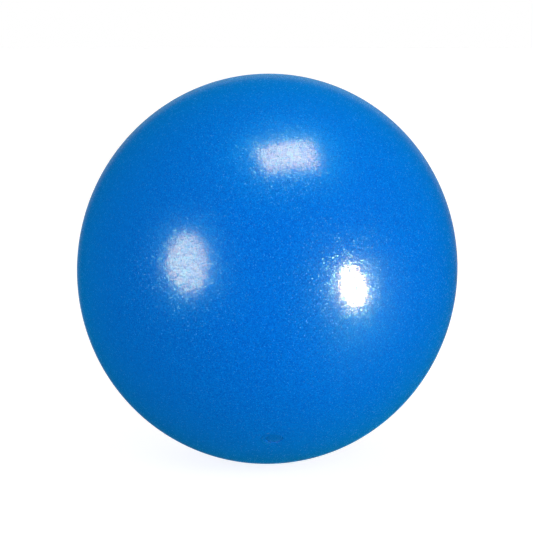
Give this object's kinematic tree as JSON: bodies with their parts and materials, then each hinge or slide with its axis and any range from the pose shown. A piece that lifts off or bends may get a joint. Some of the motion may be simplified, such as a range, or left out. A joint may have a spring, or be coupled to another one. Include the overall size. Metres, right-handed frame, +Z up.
{
  "type": "pilates ball",
  "caption": "Soft inflatable exercise ball with a satin pebbled skin, slightly taller than wide, with a recessed push-in plug valve low on one side.",
  "frame": {"origin": "on the floor at the middle of the rest patch, under the ball's centre", "axes": "+Z up along the ball's longer axis, -Y towards the side with the valve"},
  "size_m": [0.248, 0.248, 0.2534],
  "materials": {
    "skin": "satin",
    "insert": "satin",
    "plug": "satin"
  },
  "bodies": {
    "ball": {"ball_shell": "skin", "valve_insert": "insert"},
    "plug": {"valve_plug": "plug"}
  },
  "joints": [
    {"name": "plug_pull", "type": "slide", "parent": "ball", "child": "plug", "axis": [0, -0.6691, -0.7431], "range_m": [0, 0.02]}
  ]
}
